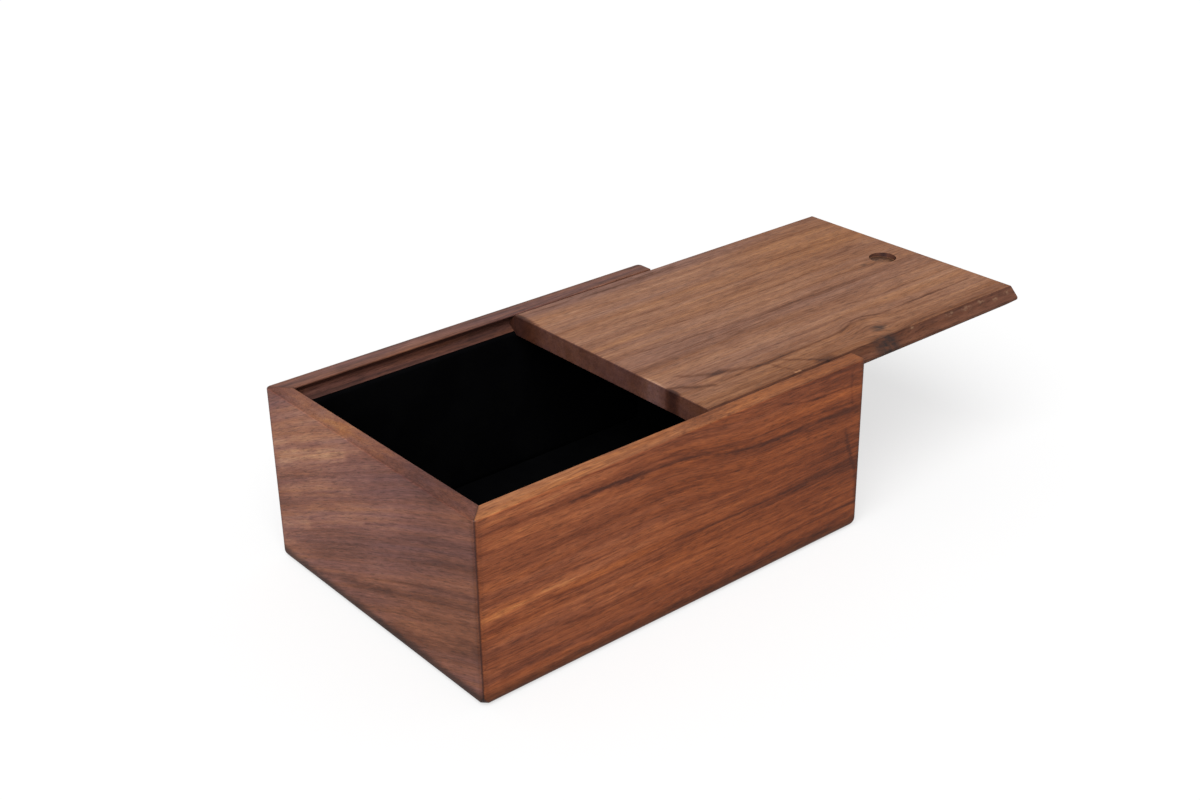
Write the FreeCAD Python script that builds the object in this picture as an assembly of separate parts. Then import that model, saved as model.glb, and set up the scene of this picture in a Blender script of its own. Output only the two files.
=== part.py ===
import FreeCAD, Part
import math
import os

os.makedirs("parts", exist_ok=True)

V = FreeCAD.Vector

# A wooden box with a lid that slides in V grooves, lined with velvet on card. Millimetres.
# X runs along the box, and the lid draws out towards +X. Y runs across and Z up.
# The origin is the centre of the underside, on the surface that the box stands on.

# Outside of the box
LENGTH = 230.0
WIDTH = 163.5
HEIGHT = 91.0
WALL = 9.5

# Roundings of the box
CORNER_R = 2.6          # upright corners
FOOT_R = 4.0            # outer edges of the underside
FOOT_CORNER_R = 6.0     # its corners, which are rubbed rounder, seen along the diagonal
RIM_R = 0.8             # outer edges of the rim
RIM_INNER_R = 0.5       # inner edges of the rim, and both top edges of the low end wall

# Base board, let into a rebate under the walls
BASE_THICK = 5.0
FOOT_LAND = 1.5         # flat of the wall left between the base board and the rounding
BASE_FIT = 0.12         # gap round the base board's edge

# Lid
LID_THICK = 11.0
LID_SHUT_GAP = 0.3      # lid to the closed end wall when shut
LID_SETBACK = 3.5       # lid's outer end to the ends of the side walls when shut
LID_DRAWN = 127.3       # how far the lid is drawn out from shut, as it lies here
LID_EASE = 0.6          # softened top edges of the lid
LID_UNDER_EASE = 0.4    # softened edges of its underside

# Tongue along each long edge of the lid
LID_SIDE_GAP = 1.75     # lid's top face to the inner edge of the rim
TONGUE_OUT = 5.0        # how far the tongue stands out from the lid's top face
TONGUE_NOSE = 1.3       # height of the tongue's blunt nose
UPPER_BEVEL = 45.0      # degrees from level, above the nose
LOWER_BEVEL = 38.0      # degrees from level, below the nose

# Groove in each side wall, cut to the tongue
LIP_LAND = 0.9          # upright face of the rim above the groove
NOSE_CLEAR = 0.5        # tongue's nose to the bottom of the groove
SLIDE_CLEAR = 0.3       # lower bevel to the flank that carries the lid
LID_RUN_CLEAR = 0.4     # lid's underside to the low end wall

# Thumb notch in the lid's top
NOTCH_R = 7.3
NOTCH_FROM_END = 19.7   # lid's outer end to the notch's centre
NOTCH_DEPTH = 2.4       # at the side towards the lid's outer end
NOTCH_SHALLOW = 1.2     # at the side towards the box

# Lining panels
CARD = 1.0              # thickness of the card
VELVET = 0.7            # thickness of the velvet
FLOOR_FIT = 0.2         # gap round the floor panel
END_LINING_CLEAR = 0.5  # end linings below the lid's underside

# Working allowances
OVERCUT = 1.0           # how far a cutter runs past the wood
SAME = 1e-4             # how near two places lie to count as one
CROSSING = 0.15         # how far apart two surfaces start so that they cross and don't just touch

# Places worked out from the sizes
X_END = LENGTH / 2
Y_SIDE = WIDTH / 2
X_INNER = X_END - WALL
Y_INNER = Y_SIDE - WALL
REBATE = WALL - FOOT_R - FOOT_LAND
LINING = CARD + VELVET
TAN_UP = math.tan(math.radians(UPPER_BEVEL))
TAN_LOW = math.tan(math.radians(LOWER_BEVEL))
COS_LOW = math.cos(math.radians(LOWER_BEVEL))

# Lid section, as half widths and heights
Z_LID_UNDER = HEIGHT - LID_THICK
Y_LID_TOP = Y_INNER - LID_SIDE_GAP
Y_NOSE = Y_LID_TOP + TONGUE_OUT
Z_NOSE_TOP = HEIGHT - TONGUE_OUT * TAN_UP
Z_NOSE_LOW = Z_NOSE_TOP - TONGUE_NOSE
Y_LID_UNDER = Y_NOSE - (Z_NOSE_LOW - Z_LID_UNDER) / TAN_LOW

# Lid along X
LID_LENGTH = LENGTH - WALL - LID_SHUT_GAP - LID_SETBACK
X_LID_INNER = -X_INNER + LID_SHUT_GAP + LID_DRAWN
X_LID_OUTER = X_LID_INNER + LID_LENGTH

Z_LOW_END_TOP = Z_LID_UNDER - LID_RUN_CLEAR
Z_END_LINING_TOP = Z_LID_UNDER - END_LINING_CLEAR


def block(x0, x1, y0, y1, z0, z1):
    return Part.makeBox(x1 - x0, y1 - y0, z1 - z0, V(x0, y0, z0))


def drawn_along_x(outline, x0, x1):
    corners = [V(x0, y, z) for y, z in outline]
    face = Part.Face(Part.makePolygon(corners + corners[:1]))
    return face.extrude(V(x1 - x0, 0, 0))


def drawn_along_y(outline, y0, y1):
    corners = [V(x, y0, z) for x, z in outline]
    face = Part.Face(Part.makePolygon(corners + corners[:1]))
    return face.extrude(V(0, y1 - y0, 0))


def drawn_up(outline, z0, z1):
    corners = [V(x, y, z0) for x, y in outline]
    face = Part.Face(Part.makePolygon(corners + corners[:1]))
    return face.extrude(V(0, 0, z1 - z0))


def mirrored_across(shape):
    return shape.mirror(V(0, 0, 0), V(0, 1, 0))


def rounded(shape, radius, belongs):
    """Round the edges whose every point passes the test."""
    chosen = []
    for edge in shape.Edges:
        points = [vertex.Point for vertex in edge.Vertexes]
        if all(belongs(point) for point in points):
            chosen.append(edge)
    return shape.makeFillet(radius, chosen)


def near_to(value, target):
    return abs(value - target) < SAME


# Outer form that all four walls share

def outer_form():
    form = block(-X_END, X_END, -Y_SIDE, Y_SIDE, 0, HEIGHT)
    form = rounded(form, FOOT_R, lambda p: near_to(p.z, 0))
    uprights = []
    for edge in form.Edges:
        ends = [vertex.Point for vertex in edge.Vertexes]
        on_long = [abs(abs(p.y) - Y_SIDE) < FOOT_R + SAME for p in ends]
        on_short = [abs(abs(p.x) - X_END) < FOOT_R + SAME for p in ends]
        rises = not near_to(ends[0].z, ends[-1].z)
        if rises and all(on_long) and all(on_short):
            uprights.append(edge)
    form = form.makeFillet(CORNER_R, uprights)
    form = rounded(form, RIM_R, lambda p: near_to(p.z, HEIGHT))
    return form.common(corner_rub())


def corner_rub():
    """A block turned by 45 degrees, whose rounded underside takes the foot's corners off."""
    reach = (X_END + Y_SIDE) / math.sqrt(2) - CORNER_R * (math.sqrt(2) - 1) + CROSSING
    rub = block(-reach, reach, -reach, reach, 0, HEIGHT + OVERCUT)
    rub = rounded(rub, FOOT_CORNER_R, lambda p: near_to(p.z, 0))
    rub.rotate(V(0, 0, 0), V(0, 0, 1), 45)
    return rub


# Walls

def groove():
    """The V groove of the +Y wall, open towards the inside of the box."""
    y_bottom = Y_NOSE + NOSE_CLEAR
    z_lip = HEIGHT - LIP_LAND
    z_upper = z_lip - (y_bottom - Y_INNER) * TAN_UP
    drop = SLIDE_CLEAR / COS_LOW
    z_lower = Z_NOSE_LOW + NOSE_CLEAR * TAN_LOW - drop
    outline = [
        (Y_INNER - OVERCUT, z_lip),
        (Y_INNER, z_lip),
        (y_bottom, z_upper),
        (y_bottom, z_lower),
        (Y_INNER, flank_height(Y_INNER)),
        (Y_INNER - OVERCUT, flank_height(Y_INNER)),
    ]
    return drawn_along_x(outline, -X_END - OVERCUT, X_END + OVERCUT)


def flank_height(y):
    """Height of the groove's lower flank, carried on inwards over the lining."""
    return Z_NOSE_LOW - (Y_NOSE - y) * TAN_LOW - SLIDE_CLEAR / COS_LOW


def base_space(gap):
    """The space of the base board, with a gap taken off its edges."""
    x = X_INNER + REBATE - gap
    y = Y_INNER + REBATE - gap
    return block(-x, x, -y, y, 0, BASE_THICK)


def far_side_wall(form):
    wall = block(-X_END, X_END, Y_INNER, Y_SIDE, 0, HEIGHT)
    wall = rounded(wall, RIM_INNER_R, lambda p: near_to(p.y, Y_INNER) and near_to(p.z, HEIGHT))
    wall = wall.cut(groove())
    waste = drawn_up([(-X_END, Y_SIDE), (-X_INNER, Y_INNER), (-X_END, Y_INNER)], 0, HEIGHT)
    wall = wall.cut(waste).cut(base_space(0))
    return wall.common(form)


def closed_end_wall(form):
    wall = block(-X_END, -X_INNER, -Y_SIDE, Y_SIDE, 0, HEIGHT)
    wall = rounded(wall, RIM_INNER_R, lambda p: near_to(p.x, -X_INNER) and near_to(p.z, HEIGHT))
    plan = [(-X_END, -Y_SIDE), (-X_INNER, -Y_INNER), (-X_INNER, Y_INNER), (-X_END, Y_SIDE)]
    wall = wall.common(drawn_up(plan, 0, HEIGHT)).cut(base_space(0))
    return wall.common(form)


def open_end_wall(form):
    wall = block(X_INNER, X_END, -Y_INNER, Y_INNER, 0, Z_LOW_END_TOP)
    wall = rounded(wall, RIM_INNER_R, lambda p: near_to(p.z, Z_LOW_END_TOP) and abs(p.y) <= Y_INNER
                   and near_to(abs(p.x - (X_END + X_INNER) / 2), WALL / 2))
    return wall.cut(base_space(0)).common(form)


# Lid

def lid_section():
    half = [
        (Y_LID_TOP, HEIGHT),
        (Y_NOSE, Z_NOSE_TOP),
        (Y_NOSE, Z_NOSE_LOW),
        (Y_LID_UNDER, Z_LID_UNDER),
    ]
    other = [(-y, z) for y, z in reversed(half)]
    return half + other


def thumb_notch():
    """A round cutter, tipped so that its floor rises towards the box."""
    tip = math.degrees(math.atan2(NOTCH_DEPTH - NOTCH_SHALLOW, 2 * NOTCH_R))
    cutter = Part.makeCylinder(NOTCH_R, LID_THICK, V(0, 0, 0), V(0, 0, 1))
    cutter.rotate(V(0, 0, 0), V(0, 1, 0), tip)
    centre = V(X_LID_OUTER - NOTCH_FROM_END, 0, HEIGHT - (NOTCH_DEPTH + NOTCH_SHALLOW) / 2)
    cutter.translate(centre)
    return cutter


def sliding_lid():
    lid = drawn_along_x(lid_section(), X_LID_INNER, X_LID_OUTER)
    lid = rounded(lid, LID_EASE, lambda p: near_to(p.z, HEIGHT))
    lid = rounded(lid, LID_UNDER_EASE, lambda p: near_to(p.z, Z_LID_UNDER))
    return lid.cut(thumb_notch())


# Lining panels: velvet glued over card, folded over its top edge

def far_side_lining():
    z_foot = BASE_THICK
    y_card = Y_INNER - CARD
    y_face = Y_INNER - LINING
    fold = VELVET / COS_LOW
    card = [
        (Y_INNER, z_foot),
        (Y_INNER, flank_height(Y_INNER) - fold),
        (y_card, flank_height(y_card) - fold),
        (y_card, z_foot),
    ]
    velvet = [
        (y_card, z_foot),
        (y_card, flank_height(y_card) - fold),
        (Y_INNER, flank_height(Y_INNER) - fold),
        (Y_INNER, flank_height(Y_INNER)),
        (y_face, flank_height(y_face)),
        (y_face, z_foot),
    ]
    return drawn_along_x(card, -X_INNER, X_INNER), drawn_along_x(velvet, -X_INNER, X_INNER)


def end_lining(side):
    """A panel between the side linings, at the closed end (-1) or the open end (+1)."""
    z_foot = BASE_THICK
    x_back = side * X_INNER
    x_card = side * (X_INNER - CARD)
    x_face = side * (X_INNER - LINING)
    z_card = Z_END_LINING_TOP - VELVET
    half = Y_INNER - LINING
    card = [(x_back, z_foot), (x_back, z_card), (x_card, z_card), (x_card, z_foot)]
    velvet = [
        (x_card, z_foot),
        (x_card, z_card),
        (x_back, z_card),
        (x_back, Z_END_LINING_TOP),
        (x_face, Z_END_LINING_TOP),
        (x_face, z_foot),
    ]
    return drawn_along_y(card, -half, half), drawn_along_y(velvet, -half, half)


def floor_lining():
    x = X_INNER - LINING - FLOOR_FIT
    y = Y_INNER - LINING - FLOOR_FIT
    card = block(-x + VELVET, x - VELVET, -y + VELVET, y - VELVET, BASE_THICK, BASE_THICK + CARD)
    velvet = block(-x, x, -y, y, BASE_THICK, BASE_THICK + LINING).cut(card)
    return card, velvet


# The pieces

form = outer_form()
far_wall = far_side_wall(form)
far_card, far_velvet = far_side_lining()
closed_card, closed_velvet = end_lining(-1)
open_card, open_velvet = end_lining(+1)
floor_card, floor_velvet = floor_lining()

pieces = {
    "far_side_wall": far_wall,
    "near_side_wall": mirrored_across(far_wall),
    "closed_end_wall": closed_end_wall(form),
    "open_end_wall": open_end_wall(form),
    "base_board": base_space(BASE_FIT),
    "sliding_lid": sliding_lid(),
    "floor_card": floor_card,
    "floor_velvet": floor_velvet,
    "far_side_card": far_card,
    "far_side_velvet": far_velvet,
    "near_side_card": mirrored_across(far_card),
    "near_side_velvet": mirrored_across(far_velvet),
    "closed_end_card": closed_card,
    "closed_end_velvet": closed_velvet,
    "open_end_card": open_card,
    "open_end_velvet": open_velvet,
}

for name, shape in pieces.items():
    shape.exportStep(f"parts/{name}.step")
    solids = len(shape.Solids)
    print(f"{name}: solids {solids}, valid {shape.isValid()}, volume {shape.Volume / 1000:.1f} cm3")
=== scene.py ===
"""Looks of a wooden box with a sliding lid: oiled hardwood outside, black velvet over card inside."""

import logging
import math
from dataclasses import dataclass
from enum import Enum

import bmesh
import bpy
from mathutils import Matrix, Vector, noise


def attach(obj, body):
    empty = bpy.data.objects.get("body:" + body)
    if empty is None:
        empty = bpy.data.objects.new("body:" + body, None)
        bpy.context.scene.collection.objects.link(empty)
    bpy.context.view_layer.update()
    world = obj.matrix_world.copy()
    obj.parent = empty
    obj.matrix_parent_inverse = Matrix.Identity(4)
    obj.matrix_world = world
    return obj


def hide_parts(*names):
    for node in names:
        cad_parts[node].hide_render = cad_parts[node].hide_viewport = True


log = logging.getLogger("box")

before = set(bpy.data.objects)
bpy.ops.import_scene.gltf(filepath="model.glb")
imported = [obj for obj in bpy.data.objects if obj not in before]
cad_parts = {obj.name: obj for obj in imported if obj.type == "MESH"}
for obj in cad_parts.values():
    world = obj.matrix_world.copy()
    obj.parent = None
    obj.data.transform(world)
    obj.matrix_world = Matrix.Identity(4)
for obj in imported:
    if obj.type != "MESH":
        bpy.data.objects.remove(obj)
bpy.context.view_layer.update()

MM = 0.001

Socket = bpy.types.NodeSocket
Feed = bpy.types.NodeSocket | float | tuple | None
Size = tuple[float, float, float]

# The whole box in millimetres: its middle, and half its length, width and height
BOX_MIDDLE: Size = (0.0, 0.0, 45.5)
BOX_HALF: Size = (115.0, 81.75, 45.5)

# Where the mitre's plane lies: half the width less half the length, along and across added together
MITRE = BOX_HALF[1] - BOX_HALF[0]

# Sizes of the wood's detail along, across and through a board, in millimetres. Real pores are about
# half as wide as the pores here, which are drawn coarse enough to show.
SWAY: Size = (150.0, 60.0, 60.0)
GROWTH_LINE: Size = (420.0, 7.0, 7.0)
STREAK_BREAK: Size = (22.0, 2.4, 2.4)
STREAK_WOBBLE: Size = (28.0, 5.0, 5.0)
STREAK_FRAY: Size = (4.0, 1.3, 1.3)
ARRIS_RUB: Size = (6.0, 2.5, 2.5)
ROUGH_BLOT: Size = (9.0, 5.5, 3.5)
KNOT_CLOUD: Size = (5.0, 2.6, 2.6)
TEAR: Size = (3.0, 1.2, 1.2)
DARK_PORE: Size = (5.0, 0.45, 0.45)
OPEN_PORE: Size = (7.0, 0.42, 0.42)
FIBRE: Size = (26.0, 0.8, 0.8)
SAW_MARK: Size = (1.3, 1.0, 1.0)
# Blots that fray the upper edge of the painted shade along the foot
FOOT_SHADE_FRAY: Size = (9.0, 9.0, 4.0)

# Over which stretch each of these fades, in millimetres: from an arris, from the box's middle to the
# groove's bottom, up the groove, up the painted shade on the foot, from an upright corner and from a
# mitre's plane
ARRIS_SPAN = (0.3, 1.7)
GROOVE_SIDE = (76.6, 77.2)
GROOVE_TOP = (89.7, 90.3)
FOOT_SPAN = (4.2, 8.8)
CORNER_SPAN = (1.2, 4.2)
GLUE_SPAN = (0.2, 0.8)

# Where the three middle tones of a board lie, from its darkest to its lightest
TONE_STOPS = (0.28, 0.5, 0.72)

# What full greyness adds to red, green and blue, what rubbing leaves of them, and the marks' colours
GREYING = (-0.14, -0.04, 0.3)
RUBBED = (0.88, 0.86, 0.87)
KNOT_HEART = "#241c1b"
DRY_WOOD = "#86664e"

# Settings that give a Map Range node a soft start and end
SOFT = {"interpolation_type": "SMOOTHSTEP"}
SOFTER = {"interpolation_type": "SMOOTHERSTEP"}

# A Mix node's inputs between its factor and its two colours
UNUSED = (None,) * 5


def linear(colour: str) -> tuple[float, float, float, float]:
    """Turns an sRGB hex colour into linear light.

    Args:
        colour: Six hex digits after a hash sign.

    Returns:
        Red, green, blue and an alpha of 1.
    """
    parts = [int(colour[i:i + 2], 16) / 255 for i in (1, 3, 5)]
    lit = [c / 12.92 if c <= 0.04045 else ((c + 0.055) / 1.055) ** 2.4 for c in parts]
    return (*lit, 1.0)


class Graph:
    """The node tree of one material, lamp or world."""

    def __init__(self, owner: bpy.types.ID) -> None:
        """Empties the owner's tree.

        Args:
            owner: What the tree belongs to.
        """
        owner.use_nodes = True
        self.owner = owner
        self.tree = owner.node_tree
        self.tree.nodes.clear()

    def add(self, kind: str, *feeds: Feed, out: int | str = 0,
            **given: object) -> Socket | bpy.types.Node:
        """Adds a node, sets it up and links what feeds it.

        Args:
            kind: Blender's node type without its ShaderNode prefix, and after a colon its operation.
            feeds: Values or sockets for the first inputs, in order. None leaves an input alone.
            out: Which output to return.
            given: Inputs by their names, which start with a capital, and settings of the node.

        Returns:
            The chosen output socket, or the node itself where it has no outputs.
        """
        kind, _, operation = kind.partition(":")
        node = self.tree.nodes.new("ShaderNode" + kind)
        if operation:
            node.operation = operation
        for key, value in given.items():
            if not key[0].isupper():
                setattr(node, key, value)
        named = {key: value for key, value in given.items() if key[0].isupper()}
        for key, value in [*enumerate(feeds), *named.items()]:
            if isinstance(value, Socket):
                self.tree.links.new(value, node.inputs[key])
            elif value is not None:
                node.inputs[key].default_value = value
        return node.outputs[out] if node.outputs else node


def new_material(name: str) -> Graph:
    """Starts a material of that name with an empty tree."""
    return Graph(bpy.data.materials.new(name))


# Marks that one board has of its own, in millimetres along and across it


@dataclass(frozen=True)
class Streak:
    """A dark or light line through points given as along and across, or the other way round."""

    path: tuple[tuple[float, float], ...]
    width: float
    strength: float
    crosswise: bool = False


@dataclass(frozen=True)
class Patch:
    """A cloudy stretch of the figure, lighter or darker and greyer or warmer than the wood about it."""

    along: float
    across: float
    length: float
    width: float
    tone: float
    grey: float


@dataclass(frozen=True)
class Knot:
    """A small knot that the grain parts for."""

    along: float
    across: float
    length: float
    width: float
    strength: float
    reach: float
    push: float


@dataclass(frozen=True)
class Drift:
    """A stretch where the lines on one side of the board step sideways."""

    start: float
    end: float
    low: float
    high: float
    shift: float


@dataclass(frozen=True)
class Chip:
    """A splinter lost from an arris, showing pale dry wood."""

    along: float
    across: float
    length: float
    width: float


@dataclass(frozen=True)
class Hollow:
    """A round hollow, with painted shade that darkens towards its deep side."""

    along: float
    across: float
    radius: float
    deep: tuple[float, float]
    shade: float


class Lie(Enum):
    """Which of the box's axes run along, across and through a board."""

    FLAT = "XYZ"
    LONG_WALL = "XZY"
    END_WALL = "YZX"


class Sawn(Enum):
    """Which faces of a board keep the saw's rougher and darker surface."""

    NONE = 0
    BEVELS = 1
    GROOVE = 2


@dataclass(frozen=True)
class Layer:
    """Soft noise of one length and width, in millimetres, that makes part of the figure."""

    length: float
    width: float
    detail: float
    gain: float


@dataclass(frozen=True)
class Spot:
    """The shaded point: its tree, and its place in the box, board and grain, in millimetres."""

    g: Graph
    place: Socket
    along: Socket
    across: Socket
    through: Socket
    grain: Socket


@dataclass(frozen=True)
class OiledWood:
    """Rosewood-like hardwood, planed, sanded and oiled to a satin.

    The eye sees dark streaks along the boards, fine open pores and a soft gloss at a slant.
    """

    name: str
    lie: Lie
    tones: tuple[str, str, str, str, str]
    middle: Size
    half: Size
    level: float = 0.5
    grey: float = 0.0
    slope: float = 0.0
    bow: float = 0.0
    seed: float = 0.0
    broad: float = 0.6
    bands: float = 0.62
    lines: float = 0.36
    rings: float = 0.16
    waviness: float = 6.0
    flecks: float = 0.38
    mottle: float = 0.2
    hue: float = 1.0
    end_grain: Size = (0.46, 0.41, 0.5)
    saw: Size = (0.5, 0.44, 0.46)
    # Tint of the faces that look up: partly their own tone, partly painted light and sheen on the tops
    rim: Size = (1.0, 1.0, 1.0)
    # How dark the painted shade on the foot is, where the rounded bottom faces the table
    foot: float = 0.42
    upright: float = 0.72
    mitred: bool = True
    sawn: Sawn = Sawn.NONE
    roughness: float = 0.46
    streaks: tuple[Streak, ...] = ()
    patches: tuple[Patch, ...] = ()
    knots: tuple[Knot, ...] = ()
    drifts: tuple[Drift, ...] = ()
    chips: tuple[Chip, ...] = ()
    hollows: tuple[Hollow, ...] = ()

    def material(self) -> bpy.types.Material:
        """Makes the finish for one board.

        Returns:
            The material.
        """
        g = new_material(self.name)
        place = g.add("VectorMath:SCALE", g.add("TexCoord", out="Object"), Scale=1 / MM)
        along, across, through = [g.add("SeparateXYZ", place, out=axis) for axis in self.lie.value]
        at = Spot(g, place, along, across, through, self.grain(g, along, across, through))
        worn = self.worn_edges(at)
        sawn = self.sawn_faces(at)
        colour = self.colour(at, worn, sawn)
        colour = self.marked(at, colour)
        colour = self.foot_shade_and_dark_corners(at, colour)
        self.surface(at, colour, worn, sawn)
        return g.owner

    def noise(self, g: Graph, where: Socket, size: Size, detail: float) -> Socket:
        """Soft noise of a real size.

        Args:
            g: The material's tree.
            where: Where the noise is read.
            size: Length, width and depth of its blots.
            detail: How many finer layers it has.

        Returns:
            The noise, which swings about nought.
        """
        scaled = g.add("Mapping", where, Scale=tuple(1 / s for s in size))
        soft = g.add("TexNoise", Vector=scaled, Scale=1.0, Detail=detail, Roughness=0.55)
        return g.add("Math:ADD", soft, -0.5)

    def grain(self, g: Graph, along: Socket, across: Socket, through: Socket) -> Socket:
        """Bends the board's straight measures so that they follow its grain.

        Args:
            g: The material's tree.
            along: Measure along the board.
            across: Measure across it.
            through: Measure through it.

        Returns:
            The three bent measures.
        """
        for d in self.drifts:
            ramp = g.add("MapRange", along, d.start, d.end, 0.0, d.shift, **SOFTER)
            side = g.add("MapRange", across, d.low, d.high, 0.0, 1.0, **SOFTER)
            across = g.add("Math:MULTIPLY_ADD", ramp, side, across)
        for k in self.knots:
            du = self.offset(g, along, k.along, k.reach)
            dv = self.offset(g, across, k.across, k.reach)
            far = g.add("Math:MULTIPLY_ADD", dv, dv, g.add("Math:MULTIPLY", du, du))
            near = g.add("Math:POWER", math.e, g.add("Math:MULTIPLY", far, -1.0))
            part = g.add("Math:MULTIPLY", near, dv)
            across = g.add("Math:MULTIPLY_ADD", part, -k.push, across)
        lean = g.add("Math:MULTIPLY_ADD", along, -self.bow, -self.slope)
        across = g.add("Math:MULTIPLY_ADD", along, lean, across)
        straight = g.add("CombineXYZ", along, across, through)
        wave = self.noise(g, g.add("VectorMath", straight, (self.seed * 71,) * 3), SWAY, 1.5)
        sway = g.add("Math:MULTIPLY", wave, self.waviness)
        return g.add("VectorMath", straight, g.add("CombineXYZ", 0.0, sway, 0.0))

    def offset(self, g: Graph, measure: Socket, centre: float, scale: float) -> Socket:
        """Distance from a centre in units of a scale."""
        return g.add("Math:DIVIDE", g.add("Math:ADD", measure, -centre), scale)

    def ellipse(self, g: Graph, along: Socket, across: Socket, mark: Patch | Knot | Chip,
                soft: float) -> Socket:
        """Marks out an ellipse with a soft border.

        Args:
            g: The material's tree.
            along: Measure along the board.
            across: Measure across it.
            mark: What fills the ellipse.
            soft: Half the border's width, as a share of the ellipse's size.

        Returns:
            One inside and nought outside.
        """
        du = self.offset(g, along, mark.along, mark.length / 2)
        dv = self.offset(g, across, mark.across, mark.width / 2)
        far = g.add("VectorMath:LENGTH", g.add("CombineXYZ", du, dv, 0.0), out="Value")
        return g.add("MapRange", far, 1.0 - soft, 1.0 + soft, 1.0, 0.0, **SOFT)

    def figure(self, at: Spot) -> tuple[Socket, Socket]:
        """Draws the figure, from the wood's growth and from the board's own marks.

        Args:
            at: The shaded point.

        Returns:
            How light the wood is, and how grey.
        """
        g = at.g
        seeded = g.add("VectorMath", at.grain, (self.seed * 37, self.seed * 113, self.seed * 59))
        layers = (
            Layer(600.0, 19.0, 1.0, self.broad),
            Layer(170.0, 5.0, 1.5, self.bands),
            Layer(60.0, 1.7, 1.5, self.lines),
            Layer(15.0, 1.0, 1.5, self.flecks),
            Layer(24.0, 11.0, 2.0, 0.26),
            Layer(6.5, 1.3, 2.0, self.mottle),
        )
        tone: Feed = self.level
        for layer in layers:
            soft = self.noise(g, seeded, (layer.length, layer.width, layer.width), layer.detail)
            tone = g.add("Math:MULTIPLY_ADD", soft, layer.gain, tone)
        ring = g.add("Math:ABSOLUTE", self.noise(g, seeded, GROWTH_LINE, 1.0))
        ring = g.add("MapRange", ring, 0.0, 0.022, -self.rings, 0.0, **SOFT)
        tone = g.add("Math:ADD", ring, tone)
        uneven = self.noise(g, seeded, STREAK_BREAK, 2.0)
        uneven = g.add("MapRange", uneven, -0.2, 0.2, 0.55, 1.35)
        tone = g.add("Math:MULTIPLY_ADD", self.drawn(at), uneven, tone)
        bent = g.add("SeparateXYZ", at.grain, out="Y")
        grey: Feed = self.grey
        for layer in (Layer(260.0, 15.0, 1.5, 2.6), Layer(70.0, 3.4, 1.5, 2.2)):
            soft = self.noise(g, seeded, (layer.length, layer.width, layer.width), layer.detail)
            grey = g.add("Math:MULTIPLY_ADD", soft, layer.gain * self.hue, grey)
        for p in self.patches:
            cloud = self.ellipse(g, at.along, bent, p, 0.7)
            tone = g.add("Math:MULTIPLY_ADD", cloud, p.tone, tone)
            grey = g.add("Math:MULTIPLY_ADD", cloud, p.grey, grey)
        return tone, g.add("Clamp", grey, -1.0, 1.0)

    def drawn(self, at: Spot) -> Feed:
        """Draws the board's own streaks.

        Args:
            at: The shaded point.

        Returns:
            All their strengths, summed.
        """
        g = at.g
        wobble = self.noise(g, at.grain, STREAK_WOBBLE, 2.0)
        frayed = self.noise(g, at.grain, STREAK_FRAY, 2.0)
        sum_of: Feed = 0.0
        for s in self.streaks:
            run, side = (at.across, at.along) if s.crosswise else (at.along, at.across)
            side = g.add("Math:MULTIPLY_ADD", wobble, 0.9 + 1.2 * s.width, side)
            first, last = s.path[0][0], s.path[-1][0]
            low = min(v for _, v in s.path) - 1.0
            high = max(v for _, v in s.path) + 1.0
            spread = g.add("MapRange", run, first, last, 0.0, 1.0)
            course = g.add("FloatCurve", 1.0, spread)
            points = [((u - first) / (last - first), (v - low) / (high - low)) for u, v in s.path]
            curve = course.node.mapping.curves[0]
            curve.points[0].location, curve.points[1].location = points[0], points[-1]
            for point in points[1:-1]:
                curve.points.new(*point)
            course.node.mapping.update()
            line = g.add("Math:MULTIPLY_ADD", course, high - low, low)
            away = g.add("Math:ABSOLUTE", g.add("Math:SUBTRACT", side, line))
            away = g.add("Math:MULTIPLY_ADD", frayed, 0.5 + 0.9 * s.width, away)
            inside = g.add("MapRange", away, -0.2 * s.width, s.width, s.strength, 0.0, **SOFT)
            left = g.add("Math:SUBTRACT", 1.0, spread)
            ends = g.add("Math:MULTIPLY", spread, left)
            ends = g.add("MapRange", ends, 0.0, 0.09, 0.0, 1.0, **SOFT)
            sum_of = g.add("Math:MULTIPLY_ADD", inside, ends, sum_of)
        return sum_of

    def worn_edges(self, at: Spot) -> Socket:
        """Finds the outer arrises, which hands have rubbed.

        Args:
            at: The shaded point.

        Returns:
            One along the arrises, broken up as wear is, and nought elsewhere.
        """
        g = at.g
        reach = g.add("VectorMath:SUBTRACT", at.place, self.middle)
        reach = g.add("VectorMath:ABSOLUTE", reach)
        reach = g.add("VectorMath:SUBTRACT", reach, self.half)
        reach = g.add("VectorMath:ABSOLUTE", reach)
        x, y, z = [g.add("SeparateXYZ", reach, out=axis) for axis in "XYZ"]
        most = g.add("Math:MAXIMUM", g.add("Math:MAXIMUM", x, y), z)
        both = g.add("VectorMath:DOT_PRODUCT", reach, (1.0, 1.0, 1.0), out="Value")
        both = g.add("Math:SUBTRACT", both, most)
        both = g.add("Math:MULTIPLY_ADD", self.noise(g, at.grain, ARRIS_RUB, 2.0), 2.5, both)
        return g.add("MapRange", both, *ARRIS_SPAN, 1.0, 0.0, **SOFT)

    def sawn_faces(self, at: Spot) -> Socket:
        """Finds the faces that were sawn and not sanded.

        Args:
            at: The shaded point.

        Returns:
            One on those faces and nought elsewhere.
        """
        g = at.g
        if self.sawn is Sawn.BEVELS:
            facing = g.add("SeparateXYZ", g.add("TexCoord", out="Normal"), out="Y")
            slant = g.add("Math:ABSOLUTE", facing)
            return g.add("MapRange", slant, 0.3, 0.6, 0.0, 1.0, **SOFT)
        if self.sawn is Sawn.GROOVE:
            inner = g.add("Math:ABSOLUTE", at.through)
            inner = g.add("MapRange", inner, *GROOVE_SIDE, 1.0, 0.0)
            below = g.add("MapRange", at.across, *GROOVE_TOP, 1.0, 0.0)
            return g.add("Math:MULTIPLY", inner, below)
        return g.add("Value")

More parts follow.
